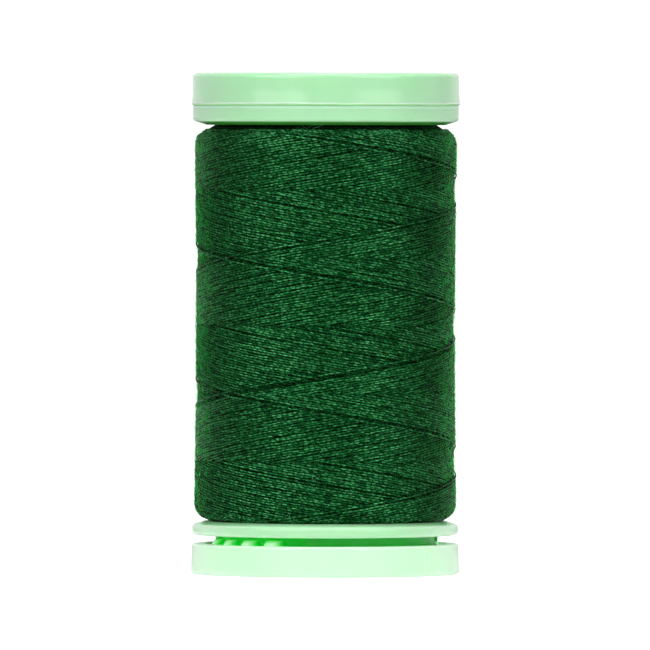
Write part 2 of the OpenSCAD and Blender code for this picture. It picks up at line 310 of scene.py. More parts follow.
def rounded_outline(corners, ease=0.06 * MM, step=math.radians(9)):
    """A closed outline of (radius, height) points from corners of (radius, height, rounding). Each
    corner becomes an arc that touches both its sides: the arc starts rounding / tan(half) before the
    corner, where half is half the angle between the sides, and its centre is on their bisector at
    rounding / sin(half). One more point beside each end of the arc keeps the flats flat."""
    corners = np.array(corners)
    here, rounding = corners[:, :2], corners[:, 2]
    back, ahead = np.roll(here, 1, axis=0) - here, np.roll(here, -1, axis=0) - here
    side = np.linalg.norm(ahead, axis=1)
    back /= np.linalg.norm(back, axis=1)[:, None]
    ahead /= side[:, None]
    half = np.arccos(np.clip((back * ahead).sum(axis=1), -1, 1)) / 2
    reach = rounding / np.tan(half)
    spare = side - reach - np.roll(reach, -1)
    if spare.min() < 0:
        raise ValueError(f"the corner after {here[spare.argmin()]} is rounded too much")
    ease_after = np.minimum(ease, spare / 3)
    ease_before = np.roll(ease_after, 1)
    bisector = (back + ahead) / np.linalg.norm(back + ahead, axis=1)[:, None]
    centre = here + bisector * (rounding / np.sin(half))[:, None]
    points = []
    for i, turn in enumerate(math.pi - 2 * half):
        first = here[i] + back[i] * reach[i]
        last = here[i] + ahead[i] * reach[i]
        share = np.linspace(0, 1, max(2, math.ceil(turn / step)) + 1)[:, None]
        weights = np.sin((1 - share) * turn), np.sin(share * turn)
        arc = centre[i] + (weights[0] * (first - centre[i]) + weights[1] * (last - centre[i])) / np.sin(turn)
        points += [[first + back[i] * ease_before[i]], arc, [last + ahead[i] * ease_after[i]]]
    return np.concatenate(points)


def refine(outline, longest, wanted):
    """Splits each wanted side of a closed outline into equal parts no longer than longest."""
    ahead = np.roll(outline, -1, axis=0) - outline
    parts = np.where(wanted, np.ceil(np.linalg.norm(ahead, axis=1) / longest), 1).astype(int)
    which = np.repeat(np.arange(len(outline)), parts)
    place = np.arange(len(which)) - np.repeat(np.cumsum(parts) - parts, parts)
    return outline[which] + ahead[which] * (place / parts[which])[:, None]


def turned_mesh(name, radius, height, around):
    """A closed surface of revolution from radius and height, each (rows, columns) large, where the
    columns stand at the angles around."""
    radius, height, around = np.broadcast_arrays(radius, height, around)
    points = np.stack([radius * np.cos(around), radius * np.sin(around), height], axis=-1)
    return make_mesh(name, points.reshape(-1, 3), [grid_quads(*radius.shape)])


def all_round(columns=COLUMNS):
    """Angles of a full turn, from +X."""
    return np.linspace(0, TURN, columns, endpoint=False)


def outline_mesh(name, outline, columns=COLUMNS):
    """A closed outline of (radius, height) points turned about the axis."""
    return turned_mesh(name, outline[:, :1], outline[:, 1:], all_round(columns))


def bevel_radius(rim, rise, s):
    """Radius where a flange's flat inner face meets the bevel that runs out to its rim."""
    return rim - rise / math.tan(s.bevel_angle)


def wave_round(around, strength, seed, harmonics=(2, 3, 5, 8, 13, 21, 34)):
    """A smooth wave round a circle: a sum of sines whose heights fall as their counts rise."""
    rng = np.random.default_rng(seed)
    phases = rng.uniform(0, TURN, len(harmonics))
    heights = np.array(harmonics) ** -0.4
    waves = heights[:, None] * np.sin(np.outer(harmonics, around) + phases[:, None])
    return strength * waves.sum(axis=0) / heights.sum() * 2


def block_arrays(low, high, rounding, turn, steps=5):
    """Points and faces of a block with rounded edges, turned about the axis. Level by level, a rounded
    rectangle is drawn in by rounding * (1 - cos) and lifted by rounding * sin."""
    low, high = np.array(low), np.array(high)
    quarter = np.linspace(0, math.pi / 2, steps)
    around = (np.arange(4)[:, None] * math.pi / 2 + quarter).ravel()
    corner = np.repeat([[1, 1], [-1, 1], [-1, -1], [1, -1]], steps, axis=0)
    half, middle = (high - low) / 2 - rounding, (high + low) / 2
    lift = np.concatenate([-quarter[::-1], quarter])
    top = np.repeat([-1, 1], steps)
    reach = rounding * np.cos(lift)
    x = middle[0] + corner[:, 0] * half[0] + reach[:, None] * np.cos(around)
    y = middle[1] + corner[:, 1] * half[1] + reach[:, None] * np.sin(around)
    z = middle[2] + top * half[2] + rounding * np.sin(lift)
    points = np.stack([x, y, np.broadcast_to(z[:, None], x.shape)], axis=-1).reshape(-1, 3)
    rows, columns = x.shape
    sides = grid_quads(rows, columns)[:(rows - 1) * columns]
    caps = [np.arange(columns)[::-1][None], (np.arange(columns) + (rows - 1) * columns)[None]]
    c, s = math.cos(turn), math.sin(turn)
    return points @ np.array([[c, s, 0], [-s, c, 0], [0, 0, 1]]), [sides, *caps]


def joined(blocks):
    """One set of points and faces from several."""
    points, faces, start = [], [], 0
    for block_points, block_faces in blocks:
        points.append(block_points)
        faces += [face + start for face in block_faces]
        start += len(block_points)
    return np.concatenate(points), faces


def tube_arrays(centres, radius, sides, flatness=1.0):
    """Points, faces and UV of closed tubes. Centres is (tubes, points, 3) large. Each ring of corners
    is an ellipse square to its path: one axis, flatness times the other, points away from Z as far as
    that allows. U is the length along the tube in millimetres, and V goes from 0 to 1 round it."""
    tubes, count, _ = centres.shape
    along = np.gradient(centres, axis=1)
    along /= np.linalg.norm(along, axis=2, keepdims=True)
    out = centres * [1, 1, 0]
    side = np.cross(along, out)
    side /= np.linalg.norm(side, axis=2, keepdims=True)
    out = np.cross(side, along)
    corner = np.arange(sides) * TURN / sides
    ring = flatness * out[:, :, None] * np.cos(corner)[:, None] + side[:, :, None] * np.sin(corner)[:, None]
    points = centres[:, :, None] + ring * radius[:, :, None, None]
    tube, place, k = np.meshgrid(np.arange(tubes), np.arange(count - 1), np.arange(sides), indexing="ij")
    start, k_next = (tube * count + place) * sides, (k + 1) % sides
    quads = np.stack([start + k, start + k_next, start + sides + k_next, start + sides + k], axis=-1)
    first = np.arange(tubes)[:, None] * count * sides + np.arange(sides)
    caps = [first[:, ::-1], first + (count - 1) * sides]
    step = np.linalg.norm(np.diff(centres, axis=1), axis=2)
    length = np.concatenate([np.zeros((tubes, 1)), np.cumsum(step, axis=1)], axis=1) / MM
    u_low, u_high = length[tube, place], length[tube, place + 1]
    v_low, v_high = k / sides, (k + 1) / sides
    uv = np.stack([np.stack([u_low, u_low, u_high, u_high], axis=-1),
                   np.stack([v_low, v_high, v_high, v_low], axis=-1)], axis=-1).reshape(-1, 2)
    uv = np.concatenate([uv, np.zeros((2 * tubes * sides, 2))])
    return points.reshape(-1, 3), [quads.reshape(-1, 4), *caps], uv


def smooth_noise(count, spacing, rng):
    """Noise of about unit height that changes over spacing samples: random knots joined by cosines."""
    knots = rng.normal(size=int(count / spacing) + 3)
    place = np.arange(count) / spacing
    low = place.astype(int)
    share = (1 - np.cos((place - low) * math.pi)) / 2
    return knots[low] * (1 - share) + knots[low + 1] * share


def new_object(name, data):
    """An object in the scene's collection."""
    item = bpy.data.objects.new(name, data)
    bpy.context.scene.collection.objects.link(item)
    return item


def add_piece(mesh, body, nodes, material):
    """Adds a finished piece under its mesh's name. It rides on a body and stands for CAD nodes."""
    piece = new_object(mesh.name, mesh)
    mesh.materials.append(material)
    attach(piece, body)
    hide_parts(*nodes)


# Winding -------------------------------------------------------------------------------------------

# Gaps beside single strokes: how many strokes before the last each was laid, and how wide its gap is
CLIMBING_GAPS = ((0, 0.14 * MM), (20, 0.06 * MM))
DESCENDING_GAPS = ((0, 0.28 * MM), (25, 0.14 * MM), (33, 0.18 * MM))
# Samples over which the strand strays in and out, strays up and down, thickens, and is tucked in at its ends
LIFT_SPACING, WANDER_SPACING, SLUB_SPACING, TUCK_SAMPLES = 9, 13, 4, 12


def cycle_turns(s):
    """Turns in one up and down stroke."""
    return 2 * (s.stroke_top - s.stroke_bottom) / s.lead


def strand_pitch(s):
    """How far each stroke lies from the one before: what is left to a whole number of turns."""
    return s.lead * (math.ceil(cycle_turns(s)) - cycle_turns(s))


def softened(distance, width):
    """Distance from a corner, rounded by a parabola within width of it."""
    return np.where(distance < width, distance ** 2 / (2 * width) + width / 2, distance)


def guide_height(turn, s):
    """Height of the thread after so many turns: it climbs by lead a turn, comes down by as much, and
    turns round softly at both ends."""
    cycle = cycle_turns(s)
    from_low = np.minimum(turn % cycle, cycle - turn % cycle)
    from_high = cycle / 2 - from_low
    low = s.stroke_bottom + s.lead * softened(from_low, s.low_turn_round)
    high = s.stroke_top - s.lead * softened(from_high, s.high_turn_round)
    return np.where(from_low < from_high, low, high)


def laid_at(turn, height, s):
    """When the climbing and the descending strand that show at a place were laid, in turns. Each
    stroke lies one strand pitch beyond the last, and the pattern repeats after a lead."""
    cycle, pitch = cycle_turns(s), strand_pitch(s)
    last = s.cycles - 1
    newest_up = s.stroke_bottom + s.lead * (turn - last * cycle)
    newest_down = s.stroke_top - s.lead * (turn - (last + 0.5) * cycle)
    up_age = ((newest_up - height) % s.lead) / pitch
    down_age = ((height - newest_down) % s.lead) / pitch
    up = (last - up_age) * cycle + (height - s.stroke_bottom) / s.lead
    down = (last + 0.5 - down_age) * cycle + (s.stroke_top - height) / s.lead
    return up, down


def package_radius(height, s):
    """Outer radius of the package: a cylinder with a parabolic waist, whose ends draw in by a power
    of the height above each shoulder's start."""
    middle = (PACK_LOW.z + PACK_HIGH.z) / 2
    from_middle = (height - middle) / (PACK_HIGH.z - middle)
    top = np.clip((height - PACK_HIGH.z) / s.top_shoulder + 1, 0, 1) ** s.shoulder_power
    low = np.clip((PACK_LOW.z - height) / s.low_shoulder + 1, 0, 1) ** s.shoulder_power
    waist = s.waist_in * (1 - from_middle ** 2)
    return s.package_radius - waist - s.top_shoulder_in * top - s.low_shoulder_in * low


def settled_radius(first_laid, second_laid, height, s):
    """Radius of the wound surface where the two strands that cross were laid at these times: each
    family of strands adds one layer step, which its older strands have already sunk by."""
    last = s.cycles * cycle_turns(s)
    age = (2 * last - first_laid - second_laid) / last
    return package_radius(height, s) + s.layer_step * (1 - age)


def gap_push(stroke, gaps, s):
    """How far each stroke is pushed away from the gaps that the thread left now and then: half a gap's
    width beside it, and less with every strand further off. The newer side is pushed forwards."""
    push = np.zeros(len(stroke))
    for age, width in gaps:
        past = stroke - (s.cycles - 1 - age)
        newer = past >= 0
        away = np.where(newer, past, -1 - past)
        push += np.where(newer, 0.5, -0.5) * width * np.exp(-away / s.gap_spread)
    return push


def strand_path(s):
    """Centres and radii of the whole strand, in the order in which it was wound, and how far each
    point is buried: 1 where a newer strand crosses over it, and 0 where it shows."""
    cycle = cycle_turns(s)
    last = s.cycles * cycle
    turn = np.arange(int(last * s.samples) + 1) / s.samples
    height = guide_height(turn, s)
    climbing = turn % cycle < cycle / 2
    up, down = laid_at(turn, height, s)
    crossed = np.where(climbing, down, up)
    under = (crossed > turn).astype(float)
    rng = np.random.default_rng(4)
    uneven = s.lift * smooth_noise(len(turn), LIFT_SPACING, rng)
    stray = s.wander * smooth_noise(len(turn), WANDER_SPACING, rng)
    stroke = np.floor(turn / cycle)
    stray += np.where(climbing, gap_push(stroke, CLIMBING_GAPS, s), -gap_push(stroke, DESCENDING_GAPS, s))
    loose = climbing * np.exp(-((height - s.loose_height) / s.loose_reach) ** 2)
    stray += loose * gap_push(stroke, ((0, s.loose_gap),), s)
    height = np.clip(height + stray, PACK_LOW.z + s.strand_radius, PACK_HIGH.z - s.strand_radius)
    radius = settled_radius(turn, crossed, height, s) - s.flatness * s.strand_radius - s.nesting * under
    from_end = np.minimum(turn, last - turn) * s.samples / TUCK_SAMPLES
    radius -= 3 * s.strand_radius * np.clip(1 - from_end, 0, 1) ** 2
    soften = np.array([1, 2, 3, 2, 1]) / 9
    radius[2:-2] = np.convolve(radius, soften, mode="valid")
    radius += uneven + s.last_lift * (stroke >= s.cycles - 1)
    buried = np.convolve(under, soften, mode="same")
    azimuth = s.start_angle + TURN * turn - math.pi / 2
    thickness = s.strand_radius * (1 + s.slubs * smooth_noise(len(turn), SLUB_SPACING, rng))
    centres = np.stack([radius * np.cos(azimuth), radius * np.sin(azimuth), height], axis=-1)
    return centres, thickness, buried


def surface_radius(azimuth, height, s):
    """Radius of the wound surface at an angle from +X and a height."""
    turn = (azimuth + math.pi / 2 - s.start_angle) / TURN
    up, down = laid_at(turn, height, s)
    return settled_radius(up, down, height, s)


def fibre_paths(count, points, length, stand_off, wobble, seed, thread):
    """Centres of loose fibres. Each starts at a random place on the wound surface and runs along it in
    a direction near the strands', turning as it goes, while it rises by stand_off * sin(part of half a
    turn) so that some tips stand free and others dip back in."""
    rng = np.random.default_rng(seed)
    margin, root_depth, end_rise = 0.5 * MM, 0.05 * MM, 0.02 * MM
    azimuth = rng.uniform(0, TURN, count)[:, None]
    height = rng.uniform(PACK_LOW.z + margin, PACK_HIGH.z - margin, count)[:, None]
    share = np.linspace(0, 1, points)
    long = length * rng.lognormal(0, 0.45, count)[:, None]
    heading = rng.normal(0, 0.75, count)[:, None] + math.pi * rng.integers(0, 2, count)[:, None]
    bend = rng.normal(0, wobble, count)[:, None]
    curl = rng.normal(0, 0.6 * wobble, count)[:, None]
    facing = heading + bend * share + curl * np.sin(share * TURN)
    step = long / (points - 1)
    across = np.cumsum(np.cos(facing) * step, axis=1) - np.cos(facing[:, :1]) * step
    climb = np.cumsum(np.sin(facing) * step, axis=1) - np.sin(facing[:, :1]) * step
    base = surface_radius(azimuth, height, thread) - root_depth
    rise = stand_off * rng.gamma(1.6, 0.62, count)[:, None]
    radius = base + rise * np.sin(share * rng.uniform(1.2, 2.9, count)[:, None]) + end_rise * share
    around = azimuth + across / base
    z = np.clip(height + climb, PACK_LOW.z + root_depth, PACK_HIGH.z - root_depth)
    return np.stack([radius * np.cos(around), radius * np.sin(around), z], axis=-1)


# Materials -----------------------------------------------------------------------------------------

# Tints of the moulded plastic: a painted reflection where it turns away from the eye, the thin flash with a
# painted highlight, the mould line, painted light on the near side of a grip tooth and its painted glow, and
# the dark specks
GRAZING_REFLECTION_TINT = (0.95, 1.0, 0.95)
FLASH_AND_HIGHLIGHT_TINT = (0.8, 0.95, 0.85)
SEAM_TINT = (0.8, 1.0, 0.82)
TOOTH_LIT_TINT = (0.97, 1.0, 0.98)
TOOTH_PAINTED_GLOW = (0.36, 1.0, 0.4)
SPECK_TINT = (0.10, 0.30, 0.12)


def rgba(tint):
    """A colour with full alpha."""
    return (*tint, 1)


class Nodes:
    """A node tree with short calls that add nodes and join them."""

    def __init__(self, tree):
        self.tree = tree

    def feed(self, node, inputs):
        """Gives a node's sockets, by name or place, their values or other nodes' outputs."""
        for key, value in inputs.items():
            if isinstance(value, bpy.types.NodeSocket):
                self.tree.links.new(value, node.inputs[key])
            else:
                node.inputs[key].default_value = value

    def add(self, kind, inputs=None, **settings):
        """Adds a node with these settings and feeds its inputs."""
        node = self.tree.nodes.new(kind)
        for name, value in settings.items():
            setattr(node, name, value)
        self.feed(node, inputs or {})
        return node

    def place(self):
        """Object coordinates."""
        return self.add("ShaderNodeTexCoord").outputs["Object"]

    def axes(self, vector):
        """X, Y and Z of a vector."""
        return self.add("ShaderNodeSeparateXYZ", {0: vector}).outputs

    def vector(self, x, y=0.0):
        """A vector from X and Y."""
        return self.add("ShaderNodeCombineXYZ", {0: x, 1: y}).outputs[0]

    def vector_maths(self, operation, *values):
        """The vector output of a Vector Math node."""
        return self.add("ShaderNodeVectorMath", dict(enumerate(values)), operation=operation).outputs[0]

    def maths(self, operation, *values, clamp=False):
        """The output of a Math node."""
        return self.add("ShaderNodeMath", dict(enumerate(values)), operation=operation,
                        use_clamp=clamp).outputs[0]

    def times(self, first, *others):
        """The product of all the values."""
        for other in others:
            first = self.maths("MULTIPLY", first, other)
        return first

    def ramp(self, value, low, high, to_low=0.0, to_high=1.0, smooth=False):
        """Value carried from low..high to to_low..to_high, and held at both ends."""
        kind = "SMOOTHSTEP" if smooth else "LINEAR"
        return self.add("ShaderNodeMapRange", {
            "Value": value, "From Min": low, "From Max": high, "To Min": to_low, "To Max": to_high,
        }, interpolation_type=kind).outputs["Result"]

    def mix(self, share, first, second, blend="MIX"):
        """The output of a colour Mix node."""
        return self.add("ShaderNodeMix", {0: share, 6: first, 7: second}, data_type="RGBA",
                        blend_type=blend).outputs[2]

    def shade(self, tint, amount):
        """A colour times an amount."""
        return self.mix(1.0, tint, amount, "MULTIPLY")

    def noise(self, vector, scale, detail=2.0):
        """The value of a Noise node."""
        return self.add("ShaderNodeTexNoise", {
            "Vector": vector, "Scale": scale, "Detail": detail}).outputs["Fac"]

    def bump(self, height, distance, strength=1.0):
        """A normal that follows a height."""
        return self.add("ShaderNodeBump", {
            "Height": height, "Distance": distance, "Strength": strength}).outputs["Normal"]


def new_group(name, inputs, outputs):
    """A shader node group, what it is given and its output node. Inputs maps labels to defaults. An
    output called Colour is a colour, and the others are values."""
    tree = bpy.data.node_groups.new(name, "ShaderNodeTree")
    for label, default in inputs.items():
        kind = "NodeSocketColor" if isinstance(default, tuple) else "NodeSocketFloat"
        tree.interface.new_socket(label, in_out="INPUT", socket_type=kind).default_value = default
    for label in outputs:
        kind = "NodeSocketColor" if label == "Colour" else "NodeSocketFloat"
        tree.interface.new_socket(label, in_out="OUTPUT", socket_type=kind)
    nodes = Nodes(tree)
    return nodes, nodes.add("NodeGroupInput").outputs, nodes.add("NodeGroupOutput")


def new_material(name):
    """A material with a Principled shader: the material, its nodes and the shader."""
    material = bpy.data.materials.new(name)
    material.use_nodes = True
    material.node_tree.nodes.clear()
    nodes = Nodes(material.node_tree)
    shader = nodes.add("ShaderNodeBsdfPrincipled")
    nodes.add("ShaderNodeOutputMaterial", {"Surface": shader.outputs["BSDF"]})
    return material, nodes, shader


def moulded_group():
    """Moulded plastic on Object coordinates: faint flow mottling, sparse dark specks, and a surface
    with a slow ripple and a fine grain."""
    if "moulded_plastic" in bpy.data.node_groups:
        return bpy.data.node_groups["moulded_plastic"]
    nodes, given, out = new_group("moulded_plastic", {
        "Colour": (0.4, 0.8, 0.4, 1), "Mottle": 0.06, "Roughness": 0.25}, ("Colour", "Roughness", "Height"))
    place = nodes.place()
    mottle = nodes.maths("SUBTRACT", nodes.noise(place, 190.0, 3.0), 0.5)
    mottled = nodes.shade(given["Colour"], nodes.maths("MULTIPLY_ADD", mottle, given["Mottle"], 1.0))
    cells = nodes.add("ShaderNodeTexVoronoi", {"Vector": place, "Scale": 300.0}).outputs
    chosen = nodes.maths("GREATER_THAN", cells["Color"], 0.72)
    near = nodes.ramp(cells["Distance"], 0.012, 0.03, 1.0, 0.0)
    spread = nodes.maths("SUBTRACT", nodes.noise(place, 700.0), 0.5)
    ripple, grain = nodes.noise(place, 260.0, 1.0), nodes.noise(place, 5200.0)
    nodes.feed(out, {
        "Colour": nodes.mix(nodes.times(chosen, near, 0.6), mottled, rgba(SPECK_TINT)),
        "Roughness": nodes.maths("MULTIPLY_ADD", spread, 0.12, given["Roughness"]),
        "Height": nodes.maths("MULTIPLY_ADD", grain, 0.03, ripple),
    })
    return nodes.tree


def toothed_light_and_shade(nodes, shader, axes, from_axis, tint, tooth_shade_tint, s):
    """The tint of the snap ring, with painted light on the near side of each grip tooth, which is pale,
    and painted shade on its far side and top. Along counts the teeth of each half turn, and share is the
    way past the tooth's near side. The near side also has a painted glow, as if light came through it."""
    around = nodes.maths("SUBTRACT", nodes.maths("ARCTAN2", axes["Y"], axes["X"]),
                         s.tooth_start - 0.37 * s.tooth_step)
    along = nodes.maths("DIVIDE", nodes.maths("FLOORED_MODULO", around, math.pi), s.tooth_step)
    counted = nodes.maths("MINIMUM", nodes.maths("FLOOR", along), s.teeth - 1.0)
    share = nodes.maths("SUBTRACT", along, counted)
    top = s.flange_under
    upper = nodes.ramp(axes["Z"], top - 0.95 * MM, top - 0.25 * MM, smooth=True)
    # Painted shade on the far side of each tooth and under the flange.
    far = nodes.maths("MAXIMUM", nodes.ramp(share, 0.38, 0.74, smooth=True), upper)
    toothed = nodes.times(
        nodes.maths("LESS_THAN", along, s.teeth + 0.5),
        nodes.maths("LESS_THAN", from_axis, s.foot_radius - 0.15 * MM),
        nodes.maths("LESS_THAN", axes["Z"], top + 0.02 * MM))
    # Painted glow on the near side of each tooth.
    through = nodes.times(nodes.maths("SUBTRACT", 1.0, far), toothed, 0.34)
    nodes.feed(shader, {"Emission Color": rgba(TOOTH_PAINTED_GLOW), "Emission Strength": through})
    # Painted light on the near side, then painted shade on the far side and top.
    pale = nodes.mix(toothed, tint, rgba(TOOTH_LIT_TINT))
    return nodes.mix(nodes.times(far, toothed), pale, rgba(tooth_shade_tint))


def plastic(name, base_colour, roughness=0.24, sides=0.0, flash=None, edge=None, teeth=None, deep=None,
            seam=None):
    """Satin moulded plastic. It is paler by sides where it turns away from the eye, a painted reflection
    of the pale surroundings. It is paler outside the radius flash, for the thin flash and for a painted
    highlight on it, and on a faint mould line at the angle seam. Edge is a tint and the height above which
    it shows, a painted highlight. Teeth is the tint and the settings of the grip teeth, with their painted
    light, shade and glow. Deep is a tint of painted shade for what lies inside a radius and below a height,
    where the plastic is less glossy too."""
    material, nodes, shader = new_material(name)
    tint = rgba(base_colour)
    axes = nodes.axes(nodes.place())
    from_axis = nodes.maths("SQRT", nodes.maths(
        "ADD", nodes.times(axes["X"], axes["X"]), nodes.times(axes["Y"], axes["Y"])))
    # Painted reflection: paler where the plastic turns away from the eye.
    if sides:
        away = nodes.add("ShaderNodeLayerWeight").outputs["Facing"]
        tint = nodes.mix(nodes.ramp(away, 0.15, 0.6, 0.0, sides, smooth=True), tint, rgba(GRAZING_REFLECTION_TINT))
    # The thin flash is paler, with a painted highlight on it.
    if flash is not None:
        flash_and_highlight = nodes.ramp(from_axis, flash, flash + 0.02 * MM, 0.0, 0.6)
        tint = nodes.mix(flash_and_highlight, tint, rgba(FLASH_AND_HIGHLIGHT_TINT))
    # Painted highlight above a height.
    if edge is not None:
        edge_highlight_tint, height = edge
        above = nodes.ramp(axes["Z"], height - 0.05 * MM, height + 0.05 * MM, 0.0, 0.6, smooth=True)
        tint = nodes.mix(above, tint, rgba(edge_highlight_tint))
    # Painted light, shade and glow on the grip teeth.
    if teeth is not None:
        tint = toothed_light_and_shade(nodes, shader, axes, from_axis, tint, *teeth)
    # Painted shade inside a radius and below a height.
    if deep is not None:
        shade_tint, radius, height = deep
        inside = nodes.ramp(from_axis, radius - 0.2 * MM, radius + 0.55 * MM, 1.0, 0.0, smooth=True)
        below = nodes.ramp(axes["Z"], height - 0.12 * MM, height + 0.12 * MM, 1.0, 0.0, smooth=True)
        sunk = nodes.times(inside, below)
        tint = nodes.mix(sunk, tint, rgba(shade_tint))
        nodes.feed(shader, {"Specular IOR Level": nodes.ramp(sunk, 0.0, 1.0, 0.5, 0.12)})
    if seam is not None:
        beside = nodes.maths("SUBTRACT", nodes.times(axes["X"], math.sin(seam)),
                             nodes.times(axes["Y"], math.cos(seam)))
        line = nodes.ramp(nodes.maths("ABSOLUTE", beside), 0.03 * MM, 0.09 * MM, 0.55, 0.0, smooth=True)
        tint = nodes.mix(line, tint, rgba(SEAM_TINT))
    moulded = nodes.add("ShaderNodeGroup", {"Colour": tint, "Roughness": roughness},
                        node_tree=moulded_group()).outputs
    nodes.feed(shader, {
        "Base Color": moulded["Colour"],
        "Roughness": moulded["Roughness"],
        "Normal": nodes.bump(moulded["Height"], 0.02 * MM),
        "IOR": 1.5,
        "Subsurface Weight": 0.6,
        "Subsurface Radius": (0.35, 1.0, 0.4),
        "Subsurface Scale": 1.6 * MM,
    })
    return material


def spun_group():
    """Spun thread on the strand's own UV, where U is millimetres along it and V goes once round, from
    the crown that faces out. Two plies lie in each other's grooves: their height is the square root of
    a wave along the strand that leans with V. Each ply's crest is brighter or darker than the last by
    chance, finer fibres carry painted glints, the crown sways from side to side, the dye varies slowly
    along the thread, and the flanks, where strands press together, and the grooves between the plies
    carry painted shade. The Ply output is this painted light and shade, which also sets the gloss."""
    nodes, given, out = new_group("spun_thread", {
        "Colour": (0.01, 0.1, 0.02, 1), "Twist": 1.2, "Lean": 0.4, "Groove": 0.3, "Uneven": 1.35,
        "Glint": 1.0, "Sway": 0.35, "Crown": 0.58}, ("Colour", "Height", "Ply"))
    axes = nodes.axes(nodes.add("ShaderNodeUVMap").outputs["UV"])
    along, side = axes["X"], nodes.maths("SINE", nodes.times(axes["Y"], TURN))
    leaning = nodes.times(side, nodes.maths("DIVIDE", given["Lean"], TURN))
    lay = nodes.maths("SUBTRACT", nodes.maths("DIVIDE", along, given["Twist"]), leaning)
    lay = nodes.maths("MULTIPLY_ADD", nodes.noise(nodes.vector(along), 0.7, 1.0), 0.5, lay)
    wave = nodes.maths("COSINE", nodes.times(lay, 2 * TURN))
    ply = nodes.maths("SQRT", nodes.maths("MULTIPLY_ADD", wave, 0.5, 0.5, clamp=True))
    crest = nodes.maths("ROUND", nodes.times(lay, 2.0))
    chance = nodes.add("ShaderNodeTexWhiteNoise", {"W": crest}, noise_dimensions="1D").outputs["Value"]
    uneven = nodes.maths("MULTIPLY_ADD", nodes.maths("SUBTRACT", chance, 0.5), given["Uneven"], 1.0)
    streaks = nodes.noise(nodes.vector(nodes.times(along, 3.0), nodes.times(side, 2.0)), 1.0)
    # Painted glints along the finer fibres.
    glint = nodes.maths("MULTIPLY_ADD", nodes.ramp(streaks, 0.3, 0.7, -1.0, 1.0), given["Glint"], 1.0)
    lively = nodes.maths("MAXIMUM", nodes.times(uneven, glint), 0.05)
    sway = nodes.maths("SUBTRACT", nodes.noise(nodes.vector(along, 8.3), 0.8, 1.0), 0.5)
    sway = nodes.maths("MULTIPLY_ADD", sway, given["Sway"], axes["Y"])
    # Painted shade on the flanks of each strand.
    crown = nodes.ramp(nodes.maths("COSINE", nodes.times(sway, TURN)), given["Crown"], 1.0, smooth=True)
    # Painted shade in the grooves between plies; lit drives both colour and gloss.
    lit = nodes.times(crown, nodes.ramp(ply, 0.1, 0.85, given["Groove"], 1.0), lively)
    dye = nodes.ramp(nodes.noise(nodes.vector(along, 3.7), 0.12), 0.3, 0.7, 0.8, 1.2)
    nodes.feed(out, {
        "Colour": nodes.shade(given["Colour"], nodes.times(nodes.maths("ADD", lit, 0.025), dye)),
        "Height": nodes.maths("MULTIPLY_ADD", streaks, 0.25, ply),
        "Ply": lit,
    })
    return nodes.tree


def thread_material(name, base_colour, twist, sheen):
    """Dyed spun thread. Its gloss is stretched across the fibres, as on hair. The fibres run along the
    strand's own U, but lean further than the strand climbs, and a little downwards with the twist. It
    has painted shade where a strand is buried, and a painted highlight near the top, where strands turn
    round."""
    material, nodes, shader = new_material(name)
    spun = nodes.add("ShaderNodeGroup", {"Colour": rgba(base_colour), "Twist": twist / MM},
                     node_tree=spun_group()).outputs
    buried = nodes.add("ShaderNodeAttribute", attribute_name="buried").outputs["Fac"]
    # Painted highlight near the top, where the strands turn round.
    top_highlight = nodes.ramp(nodes.axes(nodes.place())["Z"], PACK_HIGH.z - 3.6 * MM, PACK_HIGH.z - 2.0 * MM,
                        1.0, 1.35, smooth=True)
    # Painted shade where a strand is buried, times the painted highlight; it sets both colour and gloss.
    shown = nodes.times(nodes.ramp(buried, 0.0, 1.0, 1.0, 0.15), top_highlight)
    ply = nodes.times(spun["Ply"], shown)
    along = nodes.add("ShaderNodeTangent", direction_type="UV_MAP", uv_map="strand").outputs[0]
    nodes.feed(shader, {
        "Base Color": nodes.shade(spun["Colour"], shown),
        "Normal": nodes.bump(spun["Height"], 0.035 * MM),
        "Roughness": nodes.ramp(ply, 0.0, 1.0, 0.7, 0.42),
        "Specular IOR Level": nodes.ramp(ply, 0.0, 2.0, 0.01, 1.0),
        "Specular Tint": nodes.mix(nodes.ramp(ply, 0.5, 2.0), (0.06, 1.0, 0.25, 1), (0.3, 1.0, 0.42, 1)),
        "Tangent": nodes.vector_maths("MULTIPLY_ADD", along, (1, 1, 3.5), (0, 0, -0.2)),
        "Anisotropic": 1.0,
        "Anisotropic Rotation": 0.25,
        "IOR": 2.6,
        "Sheen Weight": sheen,
        "Sheen Roughness": 0.35,
        "Sheen Tint": (0.2, 0.9, 0.3, 1),
    })
    return material


def packed_material(name, base_colour, pitch):
    """The layers under the outer strands: rows of strands as fine bands up the height, darkened with painted
    shade, as they show only deep in the gaps between strands.
    """
    material, nodes, shader = new_material(name)
    place = nodes.place()
    broken = nodes.times(nodes.noise(place, 900.0), 6.0)
    rows = nodes.maths("SINE", nodes.maths("MULTIPLY_ADD", nodes.axes(place)["Z"], TURN / pitch, broken))
    nodes.feed(shader, {
        # Painted shade keeps the bands at 0.12 to 0.6 of the thread's colour.
        "Base Color": nodes.shade(rgba(base_colour), nodes.ramp(rows, -1.0, 1.0, 0.12, 0.6)),
        "Normal": nodes.bump(rows, 0.08 * MM),
        "Roughness": 0.85,
        "Specular IOR Level": 0.1,
    })
    return material


